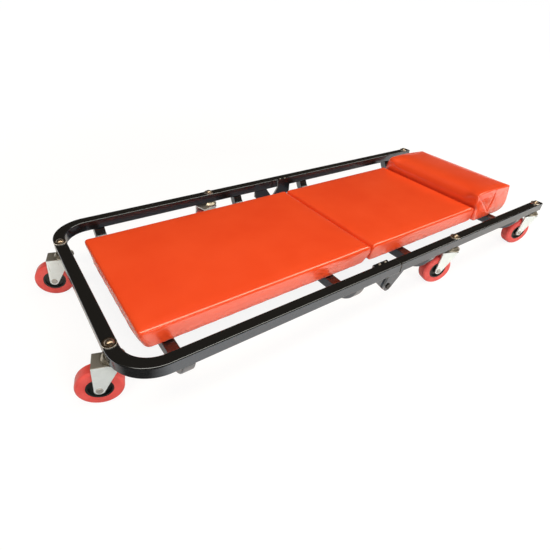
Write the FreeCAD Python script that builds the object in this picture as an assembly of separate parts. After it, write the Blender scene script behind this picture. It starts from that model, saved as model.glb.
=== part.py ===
import FreeCAD, Part
import math
import os

# Folding mechanic creeper: two padded half frames of square tube on six swivel casters,
# hinged together under the rails near mid-length.
# Millimetres. +X points to the head end, +Y to the far rail, +Z up. The floor is Z = 0.
# Places along X count from the foot end of the frame. Saving a piece shifts it to the origin.

V = FreeCAD.Vector
os.makedirs("parts", exist_ok=True)

# Frame
frame_length = 1016.0
frame_width = 430.0
tube = 20.0
tube_wall = 1.5
tube_corner = 2.5
foot_bend = 55.0
fold_x = 500.0
fold_gap = 0.8
seam_cap = 1.5
head_cap = 2.5
plug_depth = 14.0
plug_play = 0.1
plug_clear = 2.0

# Crossbars: centre lines from the foot end, from the fold and from the head end
foot_bar_x = 87.5
mid_bar_reach = 98.5
head_bar_inset = 96.0
bar_drop = 20.0
bar_bend = 40.0

# Hinges
pivot_below = 1.0
leaf_thick = 4.0
leaf_play = 0.2
leaf_lug = 11.0
leaf_notch = 15.0
near_notch = 1.5
leaf_width = 34.0
leaf_depth = 34.0
near_depth = 25.0
tab_width = 36.0
pin_r = 4.0
pin_head_r = 5.5
pin_head = 2.0
tack_pitch = 14.5
tack_inset = 13.5
tack_r = 3.2
tack_sunk = 1.4
tack_root = 1.0

# Running fit between a pin and the hole that turns on it, and play of a through bolt
run_fit = 0.05
bolt_play = 0.2

# Pads
pad_half = 142.0
foot_pad_x = 47.0
pad_gap = 2.0
pad_split = 2.5
pad_thick = 36.0
pad_crown = 4.0
pad_round = 8.0
pad_corner = 5.0
pad_pull = 4.0
skirt_lift = 0.6
board_thick = 8.0
board_inset = 10.0
board_corner = 8.0
board_play = 0.4
headrest_half = 147.0
headrest_inset = 24.0
headrest_long = 144.0
headrest_high = 64.0
headrest_end_high = 60.0
headrest_crown = 3.0
headrest_crown_x = 52.0
headrest_lean = 4.0
headrest_front_r = 24.0
headrest_head_r = 7.0
headrest_heel_r = 22.0
headrest_toe_r = 8.0
headrest_crown_r = 280.0
headrest_side_r = 6.0
headrest_side_deep = 9.0
headrest_board_inset = 34.0
rest_gap = 2.0
round_steps = 4
screw_y = 90.0
screw_r = 2.5
screw_play = 0.1
screw_head_r = 5.5
screw_head = 3.5
screw_bite = 6.0

# Casters
foot_caster_inset = 73.0
foot_mid_reach = 168.0
head_mid_reach = 173.0
head_caster_inset = 19.0
caster_skew = 18.0
wheel_r = 32.5
wheel_width = 22.0
tyre_round = 5.0
core_r = 18.5
core_rim_r = 16.0
core_rim_width = 21.0
core_dish_width = 13.0
core_boss_r = 8.5
core_boss_width = 23.2
trail = 24.5
fork_gap = 24.0
fork_sheet = 2.5
fork_clear = 9.5
fork_lead = 10.0
fork_back = 28.0
fork_lug = 7.2
fork_round = 1.6
axle_r = 4.0
axle_head_r = 5.0
axle_head = 1.8
king_r = 4.0
king_head_r = 6.8
king_head = 4.5
king_tail = 2.5
washer_r = 9.6
washer_thick = 1.6
seat_top_r = 12.0
seat_r = 16.5
seat_groove_r = 14.8
seat_lip_r = 15.6
seat_high = 7.0
seat_rim = 2.0
seat_groove = 0.6
seat_play = 0.4
nut_flats = 13.0
nut_high = 6.5
nut_play = 0.3

# Heights, from the floor up
fork_top = 2 * wheel_r + fork_clear + fork_sheet
rail_low = fork_top + seat_high
rail_top = rail_low + tube
rail_mid = rail_top - tube / 2
bar_top = rail_low - bar_drop
bar_mid = bar_top - tube / 2
bar_low = bar_top - tube
pivot_z = bar_low - pivot_below
board_top = bar_top + board_thick
pad_edge = bar_top + pad_thick

# Widths, and places along the frame
rail_y = frame_width / 2 - tube / 2
rail_inner = frame_width / 2 - tube
foot_rail_end = fold_x - fold_gap / 2 - seam_cap
head_rail_start = fold_x + fold_gap / 2 + seam_cap
head_rail_end = frame_length - head_cap
foot_mid_bar_x = fold_x - mid_bar_reach
head_mid_bar_x = fold_x + mid_bar_reach
head_bar_x = frame_length - head_bar_inset
headrest_end = frame_length - headrest_inset
headrest_x = headrest_end - headrest_long
foot_pad_end = fold_x + pad_split - pad_gap / 2
back_pad_x = fold_x + pad_split + pad_gap / 2
back_pad_end = headrest_x - rest_gap
caster_end_x = tube / 2
caster_end_y = frame_width / 2 - foot_caster_inset
caster_foot_mid_x = fold_x - foot_mid_reach
caster_head_mid_x = fold_x + head_mid_reach
caster_head_x = frame_length - head_caster_inset
fork_half = fork_gap / 2 + fork_sheet
nut_r = nut_flats / math.sqrt(3)

# The origin lies midway between the foot wheels' rear and the head end
skew = math.radians(caster_skew)
tyre_lean = (wheel_width - tyre_round) / 2 * math.sin(skew)
foot_reach = caster_end_x - (trail + wheel_r) * math.cos(skew) - tyre_lean
x_mid = (foot_reach + frame_length) / 2


def save(node, shape):
    piece = shape.copy()
    piece.translate(V(-x_mid, 0, 0))
    piece.exportStep("parts/" + node + ".step")


def join(shapes):
    return shapes[0].fuse(shapes[1:]).removeSplitter()


def rod(start, direction, radius, length):
    return Part.makeCylinder(radius, length, start, direction)


def block(low, high):
    return Part.makeBox(high.x - low.x, high.y - low.y, high.z - low.z, low)


def rounded_wire(points, radii):
    starts = []
    edges = []
    arcs = []
    for i, corner in enumerate(points):
        before = points[i - 1].sub(corner).normalize()
        after = points[(i + 1) % len(points)].sub(corner).normalize()
        half = before.getAngle(after) / 2
        reach = radii[i] / math.tan(half)
        middle = before.add(after).normalize()
        bulge = corner.add(middle * (radii[i] / math.sin(half) - radii[i]))
        first = corner.add(before * reach)
        last = corner.add(after * reach)
        starts.append(first)
        arcs.append((Part.Arc(first, bulge, last).toShape(), last))
    for i, (arc, last) in enumerate(arcs):
        edges.append(arc)
        edges.append(Part.makeLine(last, starts[(i + 1) % len(starts)]))
    return Part.Wire(edges)


def square_at(centre, across, side, corner):
    up = V(0, 0, side / 2)
    out = across * (side / 2)
    points = [centre - out - up, centre + out - up, centre + out + up, centre - out + up]
    return rounded_wire(points, [corner] * 4)


def bar_run(centre, across, move, side, corner):
    return Part.Face(square_at(centre, across, side, corner)).extrude(move)


def bar_elbow(centre, across, axis_point, axis, side, corner):
    return Part.Face(square_at(centre, across, side, corner)).revolve(axis_point, axis, 90)


def hollow(build):
    outside = build(tube, tube_corner)
    inside = build(tube - 2 * tube_wall, tube_corner - tube_wall)
    return outside.cut(inside)


# Rails

def straight_rail(y, x_from, x_to):
    def build(side, corner):
        return bar_run(V(x_from, y, rail_mid), V(0, 1, 0), V(x_to - x_from, 0, 0), side, corner)
    return hollow(build)


def foot_loop(side, corner):
    bend_x = tube / 2 + foot_bend
    bend_y = rail_y - foot_bend
    start = V(tube / 2, -bend_y, rail_mid)
    pieces = [bar_run(start, V(1, 0, 0), V(0, 2 * bend_y, 0), side, corner)]
    for way in (-1, 1):
        end = V(bend_x, way * rail_y, rail_mid)
        pieces.append(bar_run(end, V(0, 1, 0), V(foot_rail_end - bend_x, 0, 0), side, corner))
        pivot = V(bend_x, way * bend_y, 0)
        pieces.append(bar_elbow(end, V(0, 1, 0), pivot, V(0, 0, way), side, corner))
    return join(pieces)


def drill_down(rail, spots):
    for x, y in spots:
        rail = rail.cut(rod(V(x, y, rail_low - 1), V(0, 0, 1), king_r + bolt_play, tube + 2))
    return rail


foot_casters = [(caster_end_x, -caster_end_y), (caster_end_x, caster_end_y), (caster_foot_mid_x, rail_y)]
head_casters = [(caster_head_mid_x, -rail_y), (caster_head_x, -rail_y), (caster_head_x, rail_y)]
save("foot_rail", drill_down(hollow(foot_loop), foot_casters))
near_rail = straight_rail(-rail_y, head_rail_start, head_rail_end)
save("head_rail_near", drill_down(near_rail, head_casters[:2]))
far_rail = straight_rail(rail_y, head_rail_start, head_rail_end)
save("head_rail_far", drill_down(far_rail, head_casters[2:]))


# Plastic plugs that close the tube ends

def tube_plug(y, x_end, cap, depth, way):
    inside = tube - 2 * tube_wall - 2 * plug_play
    flange = Part.Face(square_at(V(x_end, y, rail_mid), V(0, 1, 0), tube, tube_corner))
    body = Part.Face(square_at(V(x_end, y, rail_mid), V(0, 1, 0), inside, tube_wall - plug_play))
    return flange.extrude(V(way * cap, 0, 0)).fuse(body.extrude(V(-way * depth, 0, 0)))


def plug_pair(x_end, cap, depth, way):
    return Part.makeCompound([tube_plug(side * rail_y, x_end, cap, depth, way) for side in (-1, 1)])


head_plug_depth = head_rail_end - caster_head_x - king_r - plug_clear
save("foot_seam_plugs", plug_pair(foot_rail_end, seam_cap, plug_depth, 1))
save("head_seam_plugs", plug_pair(head_rail_start, seam_cap, plug_depth, -1))
save("head_end_plugs", plug_pair(head_rail_end, head_cap, head_plug_depth, 1))


# Crossbars, bent up at both ends to the underside of the rails

def crossbar(x):
    flat_y = rail_y - bar_bend

    def build(side, corner):
        start = V(x, -flat_y, bar_mid)
        pieces = [bar_run(start, V(1, 0, 0), V(0, 2 * flat_y, 0), side, corner)]
        for way in (-1, 1):
            pivot = V(x, way * flat_y, bar_mid + bar_bend)
            end = V(x, way * flat_y, bar_mid)
            pieces.append(bar_elbow(end, V(1, 0, 0), pivot, V(way, 0, 0), side, corner))
        return join(pieces)

    bar = hollow(build)
    above = block(V(x - tube, -frame_width, rail_low), V(x + tube, frame_width, rail_top))
    bar = bar.cut(above)
    for side in (-1, 1):
        hole = rod(V(x, side * screw_y, bar_low - 1), V(0, 0, 1), screw_r + screw_play, tube + 2)
        bar = bar.cut(hole)
    return bar


save("foot_crossbar_end", crossbar(foot_bar_x))
save("foot_crossbar_mid", crossbar(foot_mid_bar_x))
save("head_crossbar_mid", crossbar(head_mid_bar_x))
save("head_crossbar_end", crossbar(head_bar_x))


# Hinge leaves, plates that taper from the rail to the pivot lug

def touch_point(point, centre, radius, turn):
    away = centre.sub(point)
    length = math.sqrt(away.Length ** 2 - radius ** 2)
    angle = turn * math.asin(radius / away.Length)
    spin = FreeCAD.Rotation(V(0, 1, 0), math.degrees(angle))
    return point.add(spin.multVec(away).normalize() * length)


def tapered_plate(top, front, back, centre, radius, y_low, thick):
    turn = 1 if back.x > front.x else -1
    low_front = touch_point(front, centre, radius, turn)
    low_back = touch_point(back, centre, radius, -turn)
    outline = top + [front, low_front, low_back, back]
    outline = [V(p.x, y_low, p.z) for p in outline]
    plate = Part.Face(Part.makePolygon(outline + outline[:1])).extrude(V(0, thick, 0))
    lug = rod(V(centre.x, y_low, centre.z), V(0, 1, 0), radius, thick)
    return plate.fuse(lug).removeSplitter()


def foot_leaf(tabbed, y_low, hole_r, notch, depth):
    pivot = V(fold_x, 0, pivot_z)
    front = V(fold_x - notch, 0, rail_low)
    back_x = tab_x if tabbed else tab_end - leaf_width
    back = V(back_x, 0, rail_top - depth)
    top = [V(back_x, 0, rail_top if tabbed else rail_low)]
    if tabbed:
        top.append(V(tab_end, 0, rail_top))
    if tabbed and notch < leaf_notch:
        top.append(V(tab_end, 0, rail_low))
    leaf = tapered_plate(top, front, back, pivot, leaf_lug, y_low, leaf_thick)
    return leaf.cut(rod(V(fold_x, y_low - 1, pivot_z), V(0, 1, 0), hole_r, leaf_thick + 2))


def turned(shape):
    copy = shape.copy()
    copy.rotate(V(fold_x, 0, 0), V(0, 0, 1), 180)
    return copy


tab_end = fold_x - leaf_notch
tab_x = tab_end - tab_width
inner_leaf_y = -rail_inner
outer_leaf_y = -rail_inner - leaf_play - leaf_thick
under_leaf_y = -outer_leaf_y - leaf_thick
near_tabbed = foot_leaf(True, inner_leaf_y, pin_r, near_notch, near_depth)
far_tabbed = foot_leaf(True, inner_leaf_y, pin_r + run_fit, leaf_notch, leaf_depth)
far_plain = foot_leaf(False, under_leaf_y, pin_r, leaf_notch, leaf_depth)
near_plain = foot_leaf(False, under_leaf_y, pin_r + run_fit, near_notch, near_depth)
save("foot_hinge_leaf_near", near_tabbed)
save("head_hinge_leaf_far", turned(far_tabbed))
save("foot_hinge_leaf_far", far_plain)
save("head_hinge_leaf_near", turned(near_plain))


def hinge_pin(low, high):
    shank = rod(V(fold_x, low, pivot_z), V(0, 1, 0), pin_r, high - low)
    heads = []
    for y in (low - pin_head, high):
        heads.append(rod(V(fold_x, y, pivot_z), V(0, 1, 0), pin_head_r, pin_head))
    return join([shank] + heads)


near_low = outer_leaf_y - leaf_play
near_high = inner_leaf_y + leaf_thick
far_low = rail_inner - leaf_thick - leaf_play
far_high = -outer_leaf_y
save("hinge_pins", Part.makeCompound([hinge_pin(near_low, near_high), hinge_pin(far_low, far_high)]))


def leaf_tack(x):
    bead = Part.makeSphere(tack_r, V(x, -rail_inner, rail_top - tack_sunk))
    low = V(x - tube, -rail_inner - tube, rail_top - tack_root)
    bead = bead.common(block(low, V(x + tube, -rail_inner + tube, rail_top + tube)))
    bead = bead.cut(bar_run(V(x - tube, -rail_y, rail_mid), V(0, 1, 0), V(2 * tube, 0, 0), tube, tube_corner))
    return bead.cut(block(V(x - tube, -rail_inner, rail_low), V(x + tube, -rail_inner + leaf_thick, rail_top)))


tacks = Part.makeCompound([leaf_tack(tab_x + tack_inset), leaf_tack(tab_x + tack_inset + tack_pitch)])
save("foot_leaf_tacks", tacks)
save("head_leaf_tacks", turned(tacks))


# Boards under the pads, with pilot holes for the screws

def board(x_from, x_to, bars):
    width = pad_half - board_inset
    low = V(x_from, -width, bar_top)
    high = V(x_to, width, bar_top)
    corners = [low, V(high.x, low.y, bar_top), high, V(low.x, high.y, bar_top)]
    sheet = Part.Face(rounded_wire(corners, [board_corner] * 4)).extrude(V(0, 0, board_thick))
    for x in bars:
        for side in (-1, 1):
            foot = V(x, side * screw_y, bar_top - 1)
            sheet = sheet.cut(rod(foot, V(0, 0, 1), screw_r, screw_bite + 1))
    return sheet


def board_room(x_from, x_to):
    width = pad_half - board_inset + board_play
    return block(V(x_from - board_play, -width, 0), V(x_to + board_play, width, board_top))


def pad_screws(bars):
    screws = []
    for x in bars:
        for side in (-1, 1):
            foot = V(x, side * screw_y, bar_low)
            shank = rod(foot, V(0, 0, 1), screw_r, tube + screw_bite)
            screws.append(shank.fuse(rod(foot, V(0, 0, -1), screw_head_r, screw_head)).removeSplitter())
    return Part.makeCompound(screws)


foot_bars = (foot_bar_x, foot_mid_bar_x)
head_bars = (head_mid_bar_x, head_bar_x)
foot_board = (foot_pad_x + board_inset, foot_pad_end - board_inset)
head_board = (back_pad_x + board_inset, headrest_end - headrest_board_inset)
save("foot_board", board(*foot_board, foot_bars))
save("head_board", board(*head_board, head_bars))
save("foot_pad_screws", pad_screws(foot_bars))
save("head_pad_screws", pad_screws(head_bars))


# Cushions: sides drawn in toward the board, rounded at the edge, crowned on top

def pad_levels():
    skirt = bar_top + skirt_lift
    shoulder = pad_edge - pad_round
    levels = []
    for k in range(round_steps):
        part = k / round_steps
        levels.append((pad_pull * (1 - part) ** 2, skirt + (shoulder - skirt) * part))
    for k in range(round_steps + 1):
        angle = math.radians(90 * k / (round_steps + 1))
        levels.append((pad_round * (1 - math.cos(angle)), shoulder + pad_round * math.sin(angle)))
    for k in range(round_steps):
        part = (k + 1) / round_steps
        levels.append((pad_round + (pad_half / 2) * part, pad_edge + pad_crown * (1 - (1 - part) ** 2)))
    return levels


def pad(x_from, x_to):
    wires = []
    for inset, z in pad_levels():
        low = V(x_from + inset, -pad_half + inset, z)
        high = V(x_to - inset, pad_half - inset, z)
        corners = [low, V(high.x, low.y, z), high, V(low.x, high.y, z)]
        wires.append(rounded_wire(corners, [pad_corner] * 4))
    return Part.makeLoft(wires, True, True)


def headrest_wire(y, inset):
    low = bar_top + skirt_lift + inset
    top = bar_top - inset
    points = [
        V(headrest_x + headrest_lean + inset, y, low),
        V(headrest_end - headrest_lean - inset, y, low),
        V(headrest_end - inset, y, top + headrest_end_high),
        V(headrest_x + headrest_crown_x, y, top + headrest_high + headrest_crown),
        V(headrest_x + inset, y, top + headrest_high),
    ]
    radii = [headrest_toe_r, headrest_heel_r, headrest_head_r, headrest_crown_r, headrest_front_r]
    return rounded_wire(points, [r - inset for r in radii])


def headrest():
    sections = []
    for side in (-1, 1):
        half = []
        for k in range(round_steps + 1):
            angle = math.radians(90 * k / round_steps)
            y = headrest_half - headrest_side_deep * (1 - math.cos(angle))
            half.append(headrest_wire(side * y, headrest_side_r * (1 - math.sin(angle))))
        sections += half if side < 0 else half[::-1]
    return Part.makeLoft(sections, True, True)


save("foot_pad", pad(foot_pad_x, foot_pad_end).cut(board_room(*foot_board)))
save("back_pad", pad(back_pad_x, back_pad_end).cut(board_room(*head_board)))
save("headrest", headrest().cut(board_room(*head_board)))


# Fixed parts of the casters, one set per kingpin

def king_bolt(x, y):
    base = rail_top + washer_thick
    cap_r = (king_head_r ** 2 + king_head ** 2) / (2 * king_head)
    cap = Part.makeSphere(cap_r, V(x, y, base + king_head - cap_r))
    cap = cap.common(rod(V(x, y, base), V(0, 0, 1), king_head_r + 1, king_head + 1))
    end = fork_top - fork_sheet - nut_play - nut_high - king_tail
    return cap.fuse(rod(V(x, y, end), V(0, 0, 1), king_r, base - end)).removeSplitter()


def king_washer(x, y):
    disc = rod(V(x, y, rail_top), V(0, 0, 1), washer_r, washer_thick)
    return disc.cut(rod(V(x, y, rail_top - 1), V(0, 0, 1), king_r + bolt_play, washer_thick + 2))


def king_seat(x, y):
    low = fork_top + seat_play
    bore = king_r + bolt_play
    rim = low + seat_rim
    outline = [(bore, low), (seat_r, low), (seat_r, rim), (seat_groove_r, rim)]
    outline += [(seat_groove_r, rim + seat_groove), (seat_lip_r, rim + seat_groove)]
    outline += [(seat_top_r, rail_low), (bore, rail_low)]
    points = [V(x + r, y, z) for r, z in outline]
    return Part.Face(Part.makePolygon(points + points[:1])).revolve(V(x, y, 0), V(0, 0, 1), 360)


def king_nut(x, y):
    top = fork_top - fork_sheet - nut_play
    hexagon = []
    for k in range(7):
        angle = math.radians(60 * k)
        hexagon.append(V(x + nut_r * math.cos(angle), y + nut_r * math.sin(angle), top - nut_high))
    solid = Part.Face(Part.makePolygon(hexagon)).extrude(V(0, 0, nut_high))
    return solid.cut(rod(V(x, y, top - nut_high - 1), V(0, 0, 1), king_r, nut_high + 2))


fixed_makers = (("bolts", king_bolt), ("washers", king_washer), ("seats", king_seat), ("nuts", king_nut))
for half, spots in (("foot", foot_casters), ("head", head_casters)):
    for word, maker in fixed_makers:
        save(half + "_caster_" + word, Part.makeCompound([maker(x, y) for x, y in spots]))


# Moving parts of a caster, drawn with the kingpin on the Z axis and the trail along +X

def spun(points, radii):
    face = Part.Face(rounded_wire([V(r + trail, y, wheel_r) for r, y in points], radii))
    return face.revolve(V(trail, 0, wheel_r), V(0, 1, 0), 360)


def fork():
    axle = V(trail, 0, wheel_r)
    low = fork_top - fork_sheet
    crown = block(V(0, -fork_half, low), V(fork_back, fork_half, fork_top))
    crown = join([crown, rod(V(0, 0, low), V(0, 0, 1), fork_half, fork_sheet)])
    rim = [e for e in crown.Edges if min(v.Z for v in e.Vertexes) > fork_top - fork_round]
    rim = [e for e in rim if e.CenterOfMass.x < fork_back - fork_round]
    crown = crown.makeFillet(fork_round, rim)
    front = V(-fork_lead, 0, low)
    back = V(fork_back, 0, low)
    top = [V(fork_back, 0, fork_top - fork_round), V(0, 0, fork_top - fork_round), V(0, 0, low)]
    legs = []
    for y_low in (-fork_half, fork_gap / 2):
        legs.append(tapered_plate(top, front, back, axle, fork_lug, y_low, fork_sheet))
    body = join([crown] + legs)
    body = body.cut(rod(V(0, 0, low - 1), V(0, 0, 1), king_r + run_fit, fork_sheet + 2))
    return body.cut(rod(V(trail, -fork_half - 1, wheel_r), V(0, 1, 0), axle_r, 2 * fork_half + 2))


def axle_rivet():
    shank = rod(V(trail, -fork_half, wheel_r), V(0, 1, 0), axle_r, 2 * fork_half)
    heads = []
    for side in (-1, 1):
        start = V(trail, side * fork_half, wheel_r)
        tip_r = axle_head_r - axle_head / 2
        heads.append(Part.makeCone(axle_head_r, tip_r, axle_head, start, V(0, side, 0)))
    return join([shank] + heads)


def wheel_core():
    bore = axle_r + run_fit
    rim = core_rim_width / 2
    dish = core_dish_width / 2
    boss = core_boss_width / 2
    half = [(bore, boss), (core_boss_r, boss), (core_boss_r, dish)]
    half += [(core_rim_r, dish), (core_rim_r, rim), (core_r, rim)]
    outline = [(r, -y) for r, y in half] + half[::-1]
    points = [V(r + trail, y, wheel_r) for r, y in outline]
    face = Part.Face(Part.makePolygon(points + points[:1]))
    return face.revolve(V(trail, 0, wheel_r), V(0, 1, 0), 360)


def tyre():
    half = wheel_width / 2
    outline = [(core_r, -half), (wheel_r, -half), (wheel_r, half), (core_r, half)]
    small = tyre_round / 10
    return spun(outline, [small, tyre_round, tyre_round, small])


def placed(shape, x, y, angle):
    copy = shape.copy()
    copy.rotate(V(0, 0, 0), V(0, 0, 1), angle)
    copy.translate(V(x, y, 0))
    return copy


names = ("foot_near", "foot_far", "mid_far", "mid_near", "head_near", "head_far")
mirrored = ("mid_far", "head_far")
makers = (("fork", fork), ("axle", axle_rivet), ("hub", wheel_core), ("tyre", tyre))
for word, maker in makers:
    shape = maker()
    for name, (x, y) in zip(names, foot_casters + head_casters):
        angle = 180 + caster_skew if name in mirrored else 180 - caster_skew
        save(word + "_" + name, placed(shape, x, y, angle))
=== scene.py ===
import math
from collections import namedtuple
from itertools import product

import bpy
import numpy as np
from mathutils import Matrix, Vector


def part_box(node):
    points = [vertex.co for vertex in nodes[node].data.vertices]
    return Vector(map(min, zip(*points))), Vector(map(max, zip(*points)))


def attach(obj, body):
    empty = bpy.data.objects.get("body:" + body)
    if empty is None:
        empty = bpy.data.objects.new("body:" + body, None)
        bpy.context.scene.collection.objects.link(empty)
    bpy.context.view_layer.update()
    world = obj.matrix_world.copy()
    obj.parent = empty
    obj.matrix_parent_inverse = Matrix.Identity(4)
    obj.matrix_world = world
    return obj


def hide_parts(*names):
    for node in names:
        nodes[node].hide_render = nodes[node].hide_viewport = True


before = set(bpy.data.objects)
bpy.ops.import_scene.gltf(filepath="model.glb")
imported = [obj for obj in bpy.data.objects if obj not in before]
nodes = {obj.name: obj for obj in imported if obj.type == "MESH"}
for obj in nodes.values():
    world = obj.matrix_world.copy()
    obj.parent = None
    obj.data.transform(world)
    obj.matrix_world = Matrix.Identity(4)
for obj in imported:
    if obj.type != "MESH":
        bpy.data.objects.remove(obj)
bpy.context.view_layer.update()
scene = bpy.context.scene


def rgb(red, green, blue):
    return (red, green, blue, 1.0)


# Camera: places in metres in the frame's axes, lens and sensor in millimetres
CAMERA_AT = Vector((-0.5250, -0.54913, 0.49386))
CAMERA_AIM = Vector((-0.2018, -0.1278, 0.1040))
CAMERA_ROLL = math.radians(-4.36)
CAMERA_LENS = 25.99
CAMERA_SENSOR = 36.0

# Tones, linear
WHITE = rgb(1.0, 1.0, 1.0)
BLACK = rgb(0.0, 0.0, 0.0)
VINYL_DEEP = rgb(0.89, 0.071, 0.014)
VINYL_LIGHT = rgb(0.93, 0.083, 0.018)
# Painted shade for the vinyl's fold lines and the joint between the back pad and the headrest
VINYL_PAINTED_SHADE = rgb(0.42, 0.018, 0.008)
PAINT_BLACK = rgb(0.0075, 0.0075, 0.0078)
PAINT_DUST = rgb(0.016, 0.015, 0.014)
# Painted light on the hinge leaves' sheared edges, grey in place of the dark they reflect
PAINT_EDGE_LIGHT = rgb(0.34, 0.35, 0.36)
PAINT_SHEEN = rgb(0.74, 0.84, 1.0)
STEEL_LIGHT = rgb(0.50, 0.42, 0.34)
STEEL_DARK = rgb(0.40, 0.33, 0.27)
# Painted highlight round the washers' rims
STEEL_RIM_HIGHLIGHT = rgb(0.86, 0.80, 0.70)
TYRE_DEEP = rgb(0.68, 0.068, 0.060)
TYRE_LIGHT = rgb(0.76, 0.092, 0.082)
TYRE_SCUFF = rgb(0.42, 0.060, 0.052)
BOARD_DARK = rgb(0.30, 0.19, 0.10)
BOARD_LIGHT = rgb(0.46, 0.32, 0.19)

# Spans that shader values are remapped from and to
FULL = (0.0, 1.0)
FALLING = (1.0, 0.0)
NOISE_CORE = (0.35, 0.65)
NOISE_WIDE = (0.3, 0.7)
# Share of the painted shade in the vinyl's folds and joint
PAINTED_SHADE_SHARE = (0.0, 0.70)
CHIP_SCALE = 260.0

# Studio floor: its tones, and the light it gives off to the camera and to reflections
FLOOR_REACH = 60.0
FLOOR_TONE = rgb(0.80, 0.80, 0.80)
FLOOR_SEEN_TONE = rgb(0.15, 0.15, 0.15)
FLOOR_FADE = (0.7, 2.2)
FLOOR_SEEN_LIFT = (0.875, 1.0)
FLOOR_MIRROR_LIFT = (0.14, 1.0)
CORNER_SHADE = (0.06, 1.0)
CORNER_SHADE_X = (-0.50, -0.40)
CORNER_SHADE_Y = (-0.18, -0.10)

# Studio sky: its tones, and the spans of a unit direction over which they change
SKY_LOW = WHITE
SKY_HIGH = rgb(0.040, 0.030, 0.020)
SKY_RISE = (0.0, 0.14)
SKY_FAR_SIDE = (0.61, 0.79, 0.0)
SKY_SIDE_BLEND = (-0.3, 0.3)

# Lamps
LAMP_AIM = (0.0, 0.0, 0.05)
WHITE_LIGHT = (1.0, 1.0, 1.0)
WARM_LIGHT = (1.0, 0.88, 0.68)

# Cushions, lengths in metres
CELL = 0.004
PRESSURE = 4.0
SWELL_CAP = 0.0008
SWELL_FRAMES = 20
SWELL_QUALITY = 4
HELD_BAND = 0.003
PAD_EDGE = 0.0062
PAD_HEM = 0.003
PAD_CROWN = 0.004
PAD_DOME = 0.0022
START_INSET = 0.0012
SIDE_PULL = 0.0030
TUCK_REACH = 0.035
TUCK_BELOW = 0.55
ROLL_REACH = 0.012
TINY = 1e-9

# Ripples along the sides of the cushions
RIPPLE_DEPTH = 0.00025
RIPPLE_PITCH = 0.034
RIPPLE_STRAY = 1.7
RIPPLE_STRAY_RATE = 23.0
RIPPLE_TOP = 0.75
RIPPLE_GAIN = 1.4
RIPPLE_CUT = 0.4


# Shader graphs

class Nodes:
    """Short calls that add shader nodes to a tree and link them."""

    MIX_A = 6
    MIX_B = 7
    MIX_RESULT = 2

    def __init__(self, tree):
        self.tree = tree

    def add(self, kind, **settings):
        node = self.tree.nodes.new(kind)
        for key, value in settings.items():
            setattr(node, key, value)
        return node

    def plug(self, value, socket):
        if isinstance(value, bpy.types.NodeSocket):
            self.tree.links.new(value, socket)
        else:
            socket.default_value = value

    def remap(self, value, span, to=FULL, interpolation="LINEAR"):
        node = self.add("ShaderNodeMapRange", interpolation_type=interpolation)
        self.plug(value, node.inputs["Value"])
        limits = {"From Min": span[0], "From Max": span[1], "To Min": to[0], "To Max": to[1]}
        for name, number in limits.items():
            node.inputs[name].default_value = number
        return node.outputs["Result"]

    def math(self, operation, a, b=0.0):
        node = self.add("ShaderNodeMath", operation=operation)
        self.plug(a, node.inputs[0])
        self.plug(b, node.inputs[1])
        return node.outputs["Value"]

    def mix(self, factor, a, b):
        node = self.add("ShaderNodeMix", data_type="RGBA")
        self.plug(factor, node.inputs["Factor"])
        self.plug(a, node.inputs[self.MIX_A])
        self.plug(b, node.inputs[self.MIX_B])
        return node.outputs[self.MIX_RESULT]

    def axis(self, vector, name):
        node = self.add("ShaderNodeSeparateXYZ")
        self.plug(vector, node.inputs["Vector"])
        return node.outputs[name]


class Graph(Nodes):
    """The nodes of a new material with a Principled shader."""

    def __init__(self, name):
        self.material = bpy.data.materials.new(name)
        self.material.use_nodes = True
        super().__init__(self.material.node_tree)
        self.shader = self.tree.nodes["Principled BSDF"]
        coordinate = self.add("ShaderNodeTexCoord")
        self.place = coordinate.outputs["Object"]
        self.normal = coordinate.outputs["Normal"]

    def set(self, **values):
        for key, value in values.items():
            name = key.replace("_", " ").title().replace("Ior", "IOR")
            self.plug(value, self.shader.inputs[name])

    def noise(self, scale, detail=3.0, stretch=None):
        node = self.add("ShaderNodeTexNoise")
        place = self.place
        if stretch:
            mapping = self.add("ShaderNodeMapping")
            mapping.inputs["Scale"].default_value = stretch
            self.plug(place, mapping.inputs["Vector"])
            place = mapping.outputs["Vector"]
        self.plug(place, node.inputs["Vector"])
        node.inputs["Scale"].default_value = scale
        node.inputs["Detail"].default_value = detail
        return node.outputs["Fac"]

    def cells(self, scale, feature="F1", output="Distance"):
        node = self.add("ShaderNodeTexVoronoi", feature=feature)
        self.plug(self.place, node.inputs["Vector"])
        node.inputs["Scale"].default_value = scale
        return node.outputs[output]

    def bump(self, height, strength, distance, normal=None):
        node = self.add("ShaderNodeBump")
        node.inputs["Strength"].default_value = strength
        node.inputs["Distance"].default_value = distance
        self.plug(height, node.inputs["Height"])
        if normal:
            self.plug(normal, node.inputs["Normal"])
        return node.outputs["Normal"]

    def attribute(self, name):
        return self.add("ShaderNodeAttribute", attribute_name=name).outputs["Fac"]

    def facing(self, axis):
        return self.axis(self.normal, axis)


# Materials

def vinyl():
    """Glossy cover with a fine pebble, and painted shade where its shade attribute says so, in the joint
    and the headrest's fold lines.
    """
    g = Graph("vinyl_red")
    tone = g.mix(g.remap(g.noise(scale=9.0), NOISE_CORE), VINYL_DEEP, VINYL_LIGHT)
    # Painted shade: the vinyl darkens where the shade attribute is set, in the joint and the fold lines
    tone = g.mix(g.remap(g.attribute("painted_shade"), FULL, PAINTED_SHADE_SHARE), tone, VINYL_PAINTED_SHADE)
    pebble = g.bump(g.cells(scale=720.0, feature="SMOOTH_F1"), strength=0.05, distance=0.0004)
    normal = g.bump(g.noise(scale=160.0, detail=4.0), strength=0.05, distance=0.0006, normal=pebble)
    rough = g.remap(g.noise(scale=34.0), NOISE_WIDE, (0.20, 0.27))
    g.set(base_color=tone, roughness=rough, ior=2.2, normal=normal)
    return g.material


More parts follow.
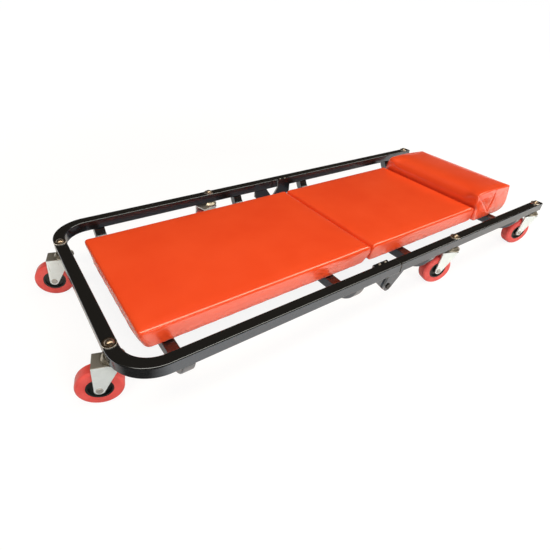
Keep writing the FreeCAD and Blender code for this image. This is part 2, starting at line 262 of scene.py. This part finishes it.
def black_paint(name, painted_edge_light=False):
    """Gloss paint with dust, and on plates a painted light grey on the sheared edges that face along the
    rail, in place of the dark they reflect.
    """
    g = Graph(name)
    dust = g.remap(g.noise(scale=420.0, detail=6.0), (0.60, 0.72), (0.0, 0.5))
    tone = g.mix(dust, PAINT_BLACK, PAINT_DUST)
    # Painted light: the plate edges that face along X are lightened to grey
    if painted_edge_light:
        edge = g.remap(g.math("ABSOLUTE", g.facing("X")), (0.4, 0.8))
        tone = g.mix(edge, tone, PAINT_EDGE_LIGHT)
    peel = g.bump(g.noise(scale=260.0, detail=2.0), strength=0.05, distance=0.0005)
    rough = g.remap(g.noise(scale=22.0), NOISE_WIDE, (0.14, 0.20))
    g.set(base_color=tone, roughness=rough, ior=2.3, normal=peel, specular_tint=PAINT_SHEEN)
    return g.material


def zinc(name, light, dark, rough, bare, painted_top_shade=None):
    """Plated steel, with an optional painted shade on the faces that look up."""
    g = Graph(name)
    tone = g.mix(g.cells(scale=190.0, output="Color"), light, dark)
    # Painted shade: faces that look up are darker
    if painted_top_shade:
        tone = g.mix(g.remap(g.facing("Z"), (0.4, 0.8)), tone, painted_top_shade)
    rolled = g.noise(scale=500.0, stretch=(1.0, 1.0, 0.08))
    haze = g.remap(g.noise(scale=40.0), NOISE_WIDE, (0.0, 0.08))
    roughness = g.math("ADD", g.remap(rolled, NOISE_WIDE, rough), haze)
    normal = g.bump(rolled, strength=0.015, distance=0.0003)
    g.set(base_color=tone, metallic=bare, roughness=roughness, normal=normal)
    return g.material


def washer_steel():
    """Dark on its flat faces, with a painted highlight round its rim."""
    g = Graph("washer_steel")
    # Painted highlight: the faces that don't look up or down are brighter and less metallic
    rim_highlight = g.remap(g.math("ABSOLUTE", g.facing("Z")), (0.45, 0.85), FALLING)
    grain = g.remap(g.noise(scale=300.0), NOISE_WIDE)
    tone = g.mix(rim_highlight, g.mix(grain, STEEL_LIGHT, STEEL_DARK), STEEL_RIM_HIGHLIGHT)
    bare = g.remap(rim_highlight, FULL, (1.0, 0.55))
    rough = g.remap(grain, FULL, (0.24, 0.34))
    g.set(base_color=tone, metallic=bare, roughness=rough)
    return g.material


def tyre_rubber():
    """Dull red rubber with darker scuffs."""
    g = Graph("tyre_red")
    tone = g.mix(g.remap(g.noise(scale=60.0), NOISE_CORE), TYRE_DEEP, TYRE_LIGHT)
    scuff = g.remap(g.noise(scale=380.0, detail=5.0), (0.58, 0.74), (0.0, 0.35))
    tone = g.mix(scuff, tone, TYRE_SCUFF)
    normal = g.bump(g.noise(scale=700.0), strength=0.08, distance=0.0004)
    rough = g.remap(g.noise(scale=90.0), NOISE_WIDE, (0.34, 0.46))
    g.set(base_color=tone, roughness=rough, normal=normal)
    return g.material


def plastic(name, light, dark, rough):
    """Moulded plastic with a fine grain."""
    g = Graph(name)
    tone = g.mix(g.remap(g.noise(scale=120.0), NOISE_CORE), dark, light)
    normal = g.bump(g.noise(scale=1400.0, detail=2.0), strength=0.10, distance=0.0003)
    roughness = g.remap(g.noise(scale=70.0), NOISE_WIDE, rough)
    g.set(base_color=tone, roughness=roughness, normal=normal)
    return g.material


def chipboard():
    """Pressed wood chips."""
    g = Graph("chipboard")
    tone = g.mix(g.cells(scale=CHIP_SCALE, output="Color"), BOARD_DARK, BOARD_LIGHT)
    normal = g.bump(g.cells(scale=CHIP_SCALE), strength=0.4, distance=0.0006)
    g.set(base_color=tone, roughness=0.85, normal=normal)
    return g.material


VINYL = vinyl()
PAINT = black_paint("black_paint")
# Hinge leaves: black paint with painted light on the edges that face along the rail
LEAF_PAINT = black_paint("black_paint_painted_edge_light", painted_edge_light=True)
# Zinc for forks, nuts and screws, with painted shade on the faces that look up
ZINC = zinc(
    "zinc", light=rgb(0.82, 0.89, 0.91), dark=rgb(0.77, 0.84, 0.86),
    rough=(0.25, 0.33), bare=0.30, painted_top_shade=rgb(0.20, 0.19, 0.17))
BRASSY = zinc(
    "zinc_yellow", light=rgb(0.56, 0.53, 0.46), dark=rgb(0.48, 0.45, 0.38),
    rough=(0.26, 0.38), bare=0.9)
RIVET = zinc(
    "rivet_steel", light=STEEL_LIGHT, dark=STEEL_DARK,
    rough=(0.24, 0.34), bare=1.0)
TACK = zinc(
    "tack_steel", light=rgb(0.46, 0.45, 0.43), dark=rgb(0.38, 0.37, 0.36),
    rough=(0.34, 0.46), bare=1.0)
WASHER = washer_steel()
AXLE = zinc(
    "axle_steel", light=rgb(0.46, 0.46, 0.44), dark=rgb(0.36, 0.36, 0.35),
    rough=(0.30, 0.42), bare=0.45)
TYRE = tyre_rubber()
HUB = plastic(
    "hub_black", light=rgb(0.016, 0.021, 0.021), dark=rgb(0.010, 0.014, 0.014),
    rough=(0.36, 0.48))
PLUG = plastic(
    "plug_black", light=rgb(0.016, 0.016, 0.016), dark=rgb(0.010, 0.010, 0.010),
    rough=(0.40, 0.55))
BOARD = chipboard()

# Finish of a node, by a part of its name; all others are painted
FINISHES = {
    "tyre_": TYRE,
    "hub_": HUB,
    "fork_": ZINC,
    "axle_": AXLE,
    "plugs": PLUG,
    "pins": PLUG,
    "board": BOARD,
    "seats": BRASSY,
    "washers": WASHER,
    "bolts": RIVET,
    "tacks": TACK,
    "hinge_leaf": LEAF_PAINT,
    "nuts": ZINC,
    "screws": ZINC,
}


def finish_for(node):
    for part_of_name, finish in FINISHES.items():
        if part_of_name in node:
            return finish
    return PAINT


for name, node in nodes.items():
    node.data.materials.clear()
    node.data.materials.append(finish_for(name))


# Mesh helpers

def new_piece(name, mesh, body, material):
    piece = bpy.data.objects.new(name, mesh)
    scene.collection.objects.link(piece)
    mesh.materials.clear()
    mesh.materials.append(material)
    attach(piece, body)
    return piece


def cell_lines(low, high, edge):
    """Lines of a grid from low to high, with half cells within the edge at both ends."""
    count = max(1, round((high - low - 2 * edge) / CELL))
    middle = np.linspace(low + edge, high - edge, count + 1)
    return np.concatenate([[low, low + edge / 2], middle, [high - edge / 2, high]])


def box_skin(name, low, high, edge):
    """A closed skin of square cells over a box."""
    lines = [cell_lines(low[k], high[k], edge) for k in range(3)]
    last = [len(line) - 1 for line in lines]
    points = []
    faces = []
    index = {}

    def corner(place):
        if place not in index:
            index[place] = len(points)
            points.append([lines[k][place[k]] for k in range(3)])
        return index[place]

    for axis in range(3):
        first = (axis + 1) % 3
        second = (axis + 2) % 3
        for i, j, end in product(range(last[first]), range(last[second]), (0, last[axis])):
            ring = []
            for di, dj in ((0, 0), (1, 0), (1, 1), (0, 1)):
                place = [0, 0, 0]
                place[axis] = end
                place[first] = i + di
                place[second] = j + dj
                ring.append(corner(tuple(place)))
            faces.append(ring if end else ring[::-1])
    mesh = bpy.data.meshes.new(name)
    mesh.from_pydata(points, [], faces)
    return mesh


def coordinates(mesh):
    flat = np.zeros(len(mesh.vertices) * 3, np.float32)
    mesh.vertices.foreach_get("co", flat)
    return flat.reshape(-1, 3).astype(float)


def put_coordinates(mesh, points):
    mesh.vertices.foreach_set("co", points.astype(np.float32).ravel())
    mesh.update()


def normals(mesh):
    flat = np.zeros(len(mesh.vertices) * 3, np.float32)
    mesh.vertex_normals.foreach_get("vector", flat)
    return flat.reshape(-1, 3).astype(float)


def ramp(values, low, high):
    t = np.clip((values - low) / (high - low), 0.0, 1.0)
    return t * t * (3 - 2 * t)


def quarter(a, b):
    """Scale that carries the corner of a square onto its quarter circle."""
    length = np.maximum(np.hypot(a, b), TINY)
    return np.where((a > 0) & (b > 0), np.maximum(a, b) / length, 1.0)


def softened(points, plane, radii, edges):
    """Rounds the four corners of a box skin seen along one axis, then the edges of its two ends."""
    pair = list(plane)
    along = 3 - sum(pair)
    low = points.min(axis=0)
    high = points.max(axis=0)
    middle = (low + high) / 2
    half = (high - low) / 2
    flat = points[:, pair] - middle[pair]
    way = np.where(flat < 0, -1.0, 1.0)
    radius = np.array(radii)[(way[:, 0] > 0) + 2 * (way[:, 1] > 0)]
    past = np.abs(flat) - (half[pair] - radius[:, None])
    over = np.maximum(past, 0.0)
    over *= quarter(over[:, 0], over[:, 1])[:, None]
    past = np.where(past > 0, over, past)
    reach = np.linalg.norm(over, axis=1)
    depth = np.where(reach > 0, radius - reach, radius - past.max(axis=1))
    outward = over / np.maximum(reach, TINY)[:, None]
    flat = (half[pair] - radius[:, None]) + past
    rise = points[:, along] - middle[along]
    for side, edge in zip((-1, 1), edges):
        u = np.clip(edge - depth, 0.0, edge)
        w = np.clip(edge - (half[along] - side * rise), 0.0, edge)
        scale = quarter(u, w)
        flat = flat - outward * (u * (1 - scale))[:, None]
        rise = rise - side * w * (1 - scale)
    result = points.copy()
    result[:, pair] = middle[pair] + way * flat
    result[:, along] = middle[along] + rise
    return result


# Ends of the pads, in metres: corners in plan, draw of the face, tuck at the corners, roll of the edge
End = namedtuple("End", "corner draw tuck roll")
FREE_END = End(corner=0.009, draw=0.005, tuck=0.005, roll=0.0)
SPLIT_END = End(corner=0.004, draw=0.0, tuck=0.017, roll=0.0018)
BUTT_END = End(corner=0.003, draw=0.0, tuck=0.0, roll=0.0018)
JOINT_END = End(corner=0.003, draw=0.0, tuck=0.0, roll=0.0040)


def pad_form(node, foot_end, head_end):
    """The start of a flat pad: crisp top edge, sides drawn in toward the board."""
    low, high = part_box(node)
    inset = Vector((START_INSET, START_INSET, 0))
    top = Vector((0, 0, PAD_CROWN))
    mesh = box_skin(node + "_cover", low + inset, high - inset - top, PAD_EDGE)
    corners = [foot_end.corner, head_end.corner] * 2
    points = softened(coordinates(mesh), (0, 1), corners, (PAD_HEM, PAD_EDGE))
    middle = (low + high) / 2
    half = (high - low) / 2
    rise = (points[:, 2] - low.z) / (high.z - low.z - PAD_CROWN)
    pull = (1 - rise) ** 2
    along = (points[:, 0] - middle.x) / half.x
    across = (points[:, 1] - middle.y) / half.y
    near_side = ramp(np.abs(points[:, 1]), half.y - TUCK_REACH, half.y)
    tucked = np.clip(1 - rise / TUCK_BELOW, 0.0, 1.0) * near_side
    points[:, 2] += PAD_DOME * (1 - pull) ** 2 * (1 - along ** 2) * (1 - across ** 2)
    points[:, 1] -= SIDE_PULL * pull * across
    for way, finish in ((-1, foot_end), (1, head_end)):
        to_end = half.x * (1 - way * along)
        points[:, 2] -= finish.roll * rise * np.clip(1 - to_end / ROLL_REACH, 0.0, 1.0) ** 2
        close = 1 - ramp(to_end, 0.0, TUCK_REACH)
        points[:, 0] -= way * close * (finish.tuck * tucked + finish.draw * (1 - rise))
    put_coordinates(mesh, points)
    return mesh


# Headrest outline: lengths in metres, and the powers of its curves
REST_LEAN = 0.009
REST_TOE = 0.004
REST_HEEL = 0.030
REST_HEAD = 0.0025
REST_FRONT = 0.024
REST_FRONT_AT_END = 0.010
REST_SQUARE_FROM = 0.105
REST_CROWN_X = 0.052
REST_FRONT_DROP = 0.003
REST_HEAD_DROP = 0.005
REST_HEAD_POWER = 1.4
REST_END_EDGE = 0.0034
REST_END_TAPER = 0.010
REST_TAPER_POWER = 1.5


def headrest_form(node):
    """The start of the headrest: its side outline, carried from end to end with round ends."""
    low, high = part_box(node)
    inset = Vector((START_INSET, START_INSET, 0))
    top = Vector((0, 0, START_INSET))
    mesh = box_skin(node + "_cover", low + inset, high - inset - top, REST_END_EDGE)
    edges = (REST_END_EDGE, REST_END_EDGE)
    start = coordinates(mesh)
    points = softened(start, (0, 2), [REST_TOE, REST_HEEL, REST_FRONT, REST_HEAD], edges)
    wrapped = softened(start, (0, 2), [REST_TOE, REST_HEEL, REST_FRONT_AT_END, REST_HEAD], edges)
    square = ramp(np.abs(start[:, 1]), REST_SQUARE_FROM, high.y - REST_END_TAPER)[:, None]
    points = points * (1 - square) + wrapped * square
    tall = high.z - START_INSET - low.z
    rise = (points[:, 2] - low.z) / tall
    along = (points[:, 0] - low.x) / (high.x - low.x)
    crown = REST_CROWN_X / (high.x - low.x)
    to_front = np.clip(1 - along / crown, 0.0, 1.0)
    to_head = np.clip((along - crown) / (1 - crown), 0.0, 1.0)
    drop = REST_FRONT_DROP * to_front ** 2 + REST_HEAD_DROP * to_head ** REST_HEAD_POWER
    points[:, 2] = low.z + rise * (tall - drop)
    points[:, 0] -= REST_LEAN * (1 - rise) * along
    points[:, 1] *= 1 - REST_END_TAPER * np.clip(rise, 0.0, 1.0) ** REST_TAPER_POWER / high.y
    put_coordinates(mesh, points)
    return mesh


def swell(pieces):
    """Cloth under pressure, held along the bottom, with its movement eased to a limit."""
    starts = []
    for piece in pieces:
        start = coordinates(piece.data)
        starts.append(start)
        held = np.nonzero(start[:, 2] < start[:, 2].min() + HELD_BAND)[0]
        piece.vertex_groups.new(name="held").add(held.tolist(), 1.0, "REPLACE")
        cloth = piece.modifiers.new("swell", "CLOTH")
        cloth.settings.quality = SWELL_QUALITY
        cloth.settings.use_pressure = True
        cloth.settings.uniform_pressure_force = PRESSURE
        cloth.settings.vertex_group_mass = "held"
        cloth.settings.effector_weights.gravity = 0.0
        cloth.point_cache.frame_end = SWELL_FRAMES
    for step in range(1, SWELL_FRAMES + 1):
        scene.frame_set(step)
    graph = bpy.context.evaluated_depsgraph_get()
    for piece, start in zip(pieces, starts):
        move = coordinates(piece.evaluated_get(graph).data) - start
        length = np.linalg.norm(move, axis=1, keepdims=True)
        eased = SWELL_CAP * np.tanh(length / SWELL_CAP)
        piece.modifiers.clear()
        piece.vertex_groups.clear()
        put_coordinates(piece.data, start + move * eased / np.maximum(length, TINY))
    scene.frame_set(1)


def subdivided(piece):
    """Gives the cushion the finer mesh of one subdivision."""
    finer = piece.modifiers.new("finer", "SUBSURF")
    finer.levels = 1
    graph = bpy.context.evaluated_depsgraph_get()
    mesh = bpy.data.meshes.new_from_object(piece.evaluated_get(graph))
    mesh.name = piece.data.name
    piece.modifiers.clear()
    piece.data = mesh


def fitted(piece, node):
    """Brings the swollen cushion back to the length and width that the part holds for it."""
    low, high = (np.array(corner)[:2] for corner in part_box(node))
    points = coordinates(piece.data)
    now_low = points.min(axis=0)[:2]
    now_high = points.max(axis=0)[:2]
    points[:, :2] = low + (points[:, :2] - now_low) * (high - low) / (now_high - now_low)
    put_coordinates(piece.data, points)


def ripples(piece, node):
    """Shallow pulls along the sides, where the cover is drawn under the board."""
    low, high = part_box(node)
    points = coordinates(piece.data)
    way = normals(piece.data)
    side = np.clip(np.hypot(way[:, 0], way[:, 1]) * RIPPLE_GAIN - RIPPLE_CUT, 0.0, 1.0)
    along = np.where(np.abs(way[:, 1]) > np.abs(way[:, 0]), points[:, 0], points[:, 1])
    stray = RIPPLE_STRAY * np.sin(along * RIPPLE_STRAY_RATE)
    wave = np.sin(along * 2 * np.pi / RIPPLE_PITCH + stray)
    drawn = 1 - ramp(points[:, 2], low.z, low.z + RIPPLE_TOP * (high.z - low.z))
    put_coordinates(piece.data, points + way * (RIPPLE_DEPTH * wave * drawn * side)[:, None])


# Folds at the headrest's two ends: spots on its side as parts of length and height, then sizes in metres
FOLD_FRONT = (0.00, 0.97)
FOLD_POINT = (0.36, 0.20)
FOLD_TOP = (0.56, 1.00)
FOLD_HEAD = (0.96, 0.94)
FOLD_HEEL = (0.80, 0.05)
FOLD_WIDTH = 0.0018
FOLD_GROOVE = 0.0008
FLAP_SINK = 0.0026

# How far folds reach round the ends, the depth of the faint fold, and the painted shade in folds and
# joint
FOLD_FACING = (0.45, 0.8)
FOLD_FAINT = 0.5
FOLD_SHADE = 0.43
JOINT_REACH = 0.009


def from_line(s, t, start, end):
    """Signed distance from a line, and distance from the stretch between its two ends."""
    run = np.array(end) - np.array(start)
    length = np.linalg.norm(run)
    run = run / length
    ds = s - start[0]
    dt = t - start[1]
    across = ds * -run[1] + dt * run[0]
    ahead = ds * run[0] + dt * run[1]
    beyond = np.maximum(np.maximum(-ahead, ahead - length), 0.0)
    return across, np.hypot(across, beyond)


def headrest_folds(piece, node):
    """Wrapped ends: a flap folded to a point below the top, and a second fold at the head side; gives
    back painted shade along the fold lines.
    """
    low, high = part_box(node)
    size = high - low
    points = coordinates(piece.data)
    way = normals(piece.data)
    end = ramp(np.abs(way[:, 1]), FOLD_FACING[0], FOLD_FACING[1])
    s = points[:, 0] - low.x
    t = points[:, 2] - low.z

    def place(spot):
        return (spot[0] * size.x, spot[1] * size.z)

    front, front_far = from_line(s, t, place(FOLD_FRONT), place(FOLD_POINT))
    top, top_far = from_line(s, t, place(FOLD_TOP), place(FOLD_POINT))
    head_far = from_line(s, t, place(FOLD_HEAD), place(FOLD_HEEL))[1]
    flap = ramp(front, -FOLD_WIDTH, FOLD_WIDTH) * ramp(-top, -FOLD_WIDTH, FOLD_WIDTH)
    sink = FLAP_SINK * flap * np.clip(1 - t / size.z, 0.0, 1.0)
    lines = np.exp(-(np.minimum(front_far, top_far) / FOLD_WIDTH) ** 2)
    faint = np.exp(-(head_far / FOLD_WIDTH) ** 2)
    move = -(sink + FOLD_GROOVE * (lines + FOLD_FAINT * faint)) * end
    points[:, 1] += np.sign(points[:, 1]) * move
    put_coordinates(piece.data, points)
    # Painted shade along the fold lines
    return FOLD_SHADE * lines * end


def joint_shade(piece):
    """Painted shade: darker vinyl in the joint between the back pad and the headrest."""
    points = coordinates(piece.data)
    joint_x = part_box("headrest")[0].x
    joint_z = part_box("back_pad")[1].z - PAD_CROWN - JOINT_END.roll
    away = np.hypot(points[:, 0] - joint_x, points[:, 2] - joint_z)
    return 1 - ramp(away, 0.0, JOINT_REACH)


def cushion(name, mesh, body):
    return new_piece(name, mesh, body, VINYL)


# Cushions in place of the plain pads
foot_cover = cushion("foot_cushion", pad_form("foot_pad", FREE_END, SPLIT_END), "foot_frame")
back_cover = cushion("back_cushion", pad_form("back_pad", BUTT_END, JOINT_END), "head_frame")
head_cover = cushion("headrest_cushion", headrest_form("headrest"), "head_frame")
covers = {"foot_pad": foot_cover, "back_pad": back_cover, "headrest": head_cover}
swell(list(covers.values()))
for node, piece in covers.items():
    subdivided(piece)
    fitted(piece, node)
    ripples(piece, node)
    # Painted shade in the joint and along the headrest's fold lines, kept as a point attribute that the
    # vinyl reads
    shade = joint_shade(piece)
    if node == "headrest":
        shade = np.maximum(shade, headrest_folds(piece, node))
    painted_shade = piece.data.attributes.new("painted_shade", "FLOAT", "POINT")
    painted_shade.data.foreach_set("value", shade.astype(np.float32))
    piece.data.polygons.foreach_set("use_smooth", np.ones(len(piece.data.polygons), bool))
    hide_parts(node)


# Studio: floor, sky, lamps and camera

def floor_finish():
    """White to the camera; in reflections dim near the part, and darkest by its near foot corner."""
    g = Graph("studio_floor")
    path = g.add("ShaderNodeLightPath")
    direct = path.outputs["Is Camera Ray"]
    mirrored = path.outputs["Is Glossy Ray"]
    length = g.add("ShaderNodeVectorMath", operation="LENGTH")
    g.plug(g.place, length.inputs[0])
    away = length.outputs["Value"]
    along = g.remap(g.axis(g.place, "X"), CORNER_SHADE_X, CORNER_SHADE)
    across = g.remap(g.axis(g.place, "Y"), CORNER_SHADE_Y, CORNER_SHADE)
    shade = g.math("MAXIMUM", along, across)
    seen_lift = g.remap(away, FLOOR_FADE, FLOOR_SEEN_LIFT)
    mirror_lift = g.math("MULTIPLY", g.remap(away, FLOOR_FADE, FLOOR_MIRROR_LIFT), shade)
    lift = g.math("ADD", g.math("MULTIPLY", direct, seen_lift), g.math("MULTIPLY", mirrored, mirror_lift))
    reflected = g.mix(shade, BLACK, FLOOR_TONE)
    tone = g.mix(mirrored, g.mix(direct, FLOOR_TONE, FLOOR_SEEN_TONE), reflected)
    g.set(base_color=tone, roughness=1.0, specular_ior_level=0.0)
    g.set(emission_color=WHITE, emission_strength=lift)
    return g.material


def studio_floor():
    size = FLOOR_REACH
    mesh = bpy.data.meshes.new("studio_floor")
    corners = [(-size, -size, 0), (size, -size, 0), (size, size, 0), (-size, size, 0)]
    mesh.from_pydata(corners, [], [(0, 1, 2, 3)])
    floor = bpy.data.objects.new("studio_floor", mesh)
    scene.collection.objects.link(floor)
    mesh.materials.append(floor_finish())


def studio_sky():
    """White to the camera; in reflections white low on the far side, dark and warm elsewhere."""
    world = bpy.data.worlds.new("studio_sky")
    world.use_nodes = True
    scene.world = world
    g = Nodes(world.node_tree)
    way = g.add("ShaderNodeTexCoord").outputs["Generated"]
    facing = g.add("ShaderNodeVectorMath", operation="DOT_PRODUCT")
    g.plug(way, facing.inputs[0])
    g.plug(SKY_FAR_SIDE, facing.inputs[1])
    horizon = g.remap(g.axis(way, "Z"), SKY_RISE, FALLING, "SMOOTHSTEP")
    far_side = g.remap(facing.outputs["Value"], SKY_SIDE_BLEND, FULL, "SMOOTHSTEP")
    direct = g.add("ShaderNodeLightPath").outputs["Is Camera Ray"]
    bright = g.math("MAXIMUM", g.math("MULTIPLY", horizon, far_side), direct)
    g.plug(g.mix(bright, SKY_HIGH, SKY_LOW), g.tree.nodes["Background"].inputs["Color"])


def lamp(name, at, aim, size, power, colour=WHITE_LIGHT, mirrored=False):
    data = bpy.data.lights.new(name, "AREA")
    data.shape = "RECTANGLE"
    data.size = size[0]
    data.size_y = size[1]
    data.energy = power
    data.color = colour
    lamp_object = bpy.data.objects.new(name, data)
    lamp_object.location = at
    lamp_object.rotation_mode = "QUATERNION"
    lamp_object.rotation_quaternion = (Vector(aim) - Vector(at)).to_track_quat("-Z", "Y")
    lamp_object.visible_camera = False
    lamp_object.visible_glossy = mirrored
    scene.collection.objects.link(lamp_object)


def camera():
    data = bpy.data.cameras.new("camera")
    data.sensor_width = CAMERA_SENSOR
    data.lens = CAMERA_LENS
    ahead = (CAMERA_AIM - CAMERA_AT).normalized()
    right = ahead.cross(Vector((0, 0, 1))).normalized()
    up = right.cross(ahead)
    turned_right = right * math.cos(CAMERA_ROLL) - up * math.sin(CAMERA_ROLL)
    turned_up = right * math.sin(CAMERA_ROLL) + up * math.cos(CAMERA_ROLL)
    view = bpy.data.objects.new("camera", data)
    view.matrix_world = Matrix((turned_right, turned_up, -ahead)).transposed().to_4x4()
    view.location = CAMERA_AT
    scene.collection.objects.link(view)
    scene.camera = view


studio_floor()
studio_sky()
lamp(
    "strip", at=(0.95, -0.74, 2.5), aim=(0.95, -0.74, 0.0), size=(6.7, 1.0), power=92.0,
    colour=WARM_LIGHT, mirrored=True)
lamp("front", at=(0.2, -3.0, 1.7), aim=LAMP_AIM, size=(1.5, 1.5), power=60.0)
lamp("fill", at=(-2.2, -1.3, 2.1), aim=LAMP_AIM, size=(1.6, 1.6), power=20.0)
lamp("top", at=(0.2, 1.2, 3.0), aim=LAMP_AIM, size=(2.2, 2.2), power=8.0)
camera()
scene.view_settings.view_transform = "Standard"
